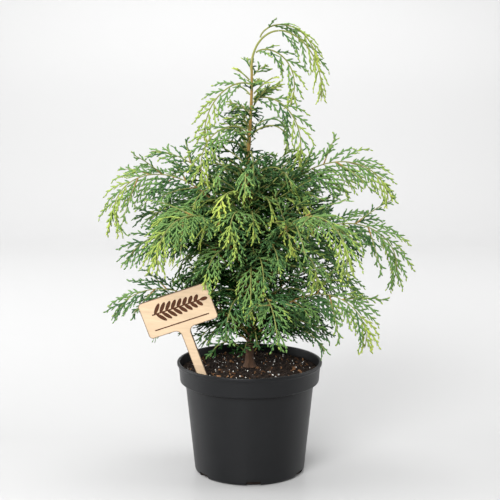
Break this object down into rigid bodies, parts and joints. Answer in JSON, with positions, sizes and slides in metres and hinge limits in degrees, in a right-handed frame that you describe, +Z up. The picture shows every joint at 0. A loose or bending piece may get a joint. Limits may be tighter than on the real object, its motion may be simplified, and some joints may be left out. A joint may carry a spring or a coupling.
{
  "type": "potted conifer",
  "caption": "Young Lawson cypress with a nodding leader and drooping flat sprays, in a round black nursery pot of soil with a bare wooden plant label on a stake.",
  "frame": {"origin": "centre of the flat underside of the pot", "axes": "+Z up along the axis of the pot; -Y towards the front, where the label stands; +X towards the side that the top of the plant nods to"},
  "size_m": [0.3745, 0.3121, 0.5279],
  "materials": {
    "pot_plastic": "satin black moulded plastic",
    "soil": "dark crumbly potting soil",
    "label_wood": "bare light plywood with burnt edges",
    "bark": "rough brown bark",
    "young_bark": "orange-brown young bark",
    "old_foliage": "dark green scale leaves",
    "new_foliage": "fresh yellow-green scale leaves"
  },
  "bodies": {
    "root": {"bough_back_high": "young_bark", "bough_back_left": "young_bark", "bough_back_low_left": "young_bark", "bough_back_low_right": "young_bark", "bough_back_middle": "young_bark", "bough_back_right": "young_bark", "bough_front_left": "young_bark", "bough_front_low": "young_bark", "bough_front_right": "young_bark", "bough_left_high": "young_bark", "bough_left_low": "young_bark", "bough_left_middle": "young_bark", "bough_left_middle_back": "young_bark", "bough_left_upper": "young_bark", "bough_right_high": "young_bark", "bough_right_high_back": "young_bark", "bough_right_low": "young_bark", "bough_right_middle": "young_bark", "bough_right_middle_back": "young_bark", "foliage_back_high": "old_foliage", "foliage_back_left": "new_foliage", "foliage_back_low_left": "old_foliage", "foliage_back_low_right": "old_foliage", "foliage_back_middle": "new_foliage", "foliage_back_right": "new_foliage", "foliage_front_foot": "old_foliage", "foliage_front_high": "new_foliage", "foliage_front_left": "new_foliage", "foliage_front_low": "new_foliage", "foliage_front_low_left": "new_foliage", "foliage_front_low_right": "old_foliage", "foliage_front_middle": "new_foliage", "foliage_front_right": "new_foliage", "foliage_leader_tip": "old_foliage", "foliage_leader_top": "new_foliage", "foliage_left_foot": "old_foliage", "foliage_left_high": "old_foliage", "foliage_left_low": "old_foliage", "foliage_left_middle": "new_foliage", "foliage_left_middle_back": "old_foliage", "foliage_left_upper": "new_foliage", "foliage_neck_back_left": "old_foliage", "foliage_neck_back_right": "old_foliage", "foliage_neck_front": "new_foliage", "foliage_neck_left": "old_foliage", "foliage_right_foot": "new_foliage", "foliage_right_high": "new_foliage", "foliage_right_high_back": "old_foliage", "foliage_right_low": "new_foliage", "foliage_right_middle": "new_foliage", "foliage_right_middle_back": "new_foliage", "foliage_shoulder_back": "new_foliage", "foliage_shoulder_left": "new_foliage", "foliage_shoulder_right": "new_foliage", "foliage_top_left": "old_foliage", "foliage_top_right": "new_foliage", "label": "label_wood", "pot": "pot_plastic", "soil": "soil", "trunk": "bark"}
  },
  "joints": []
}
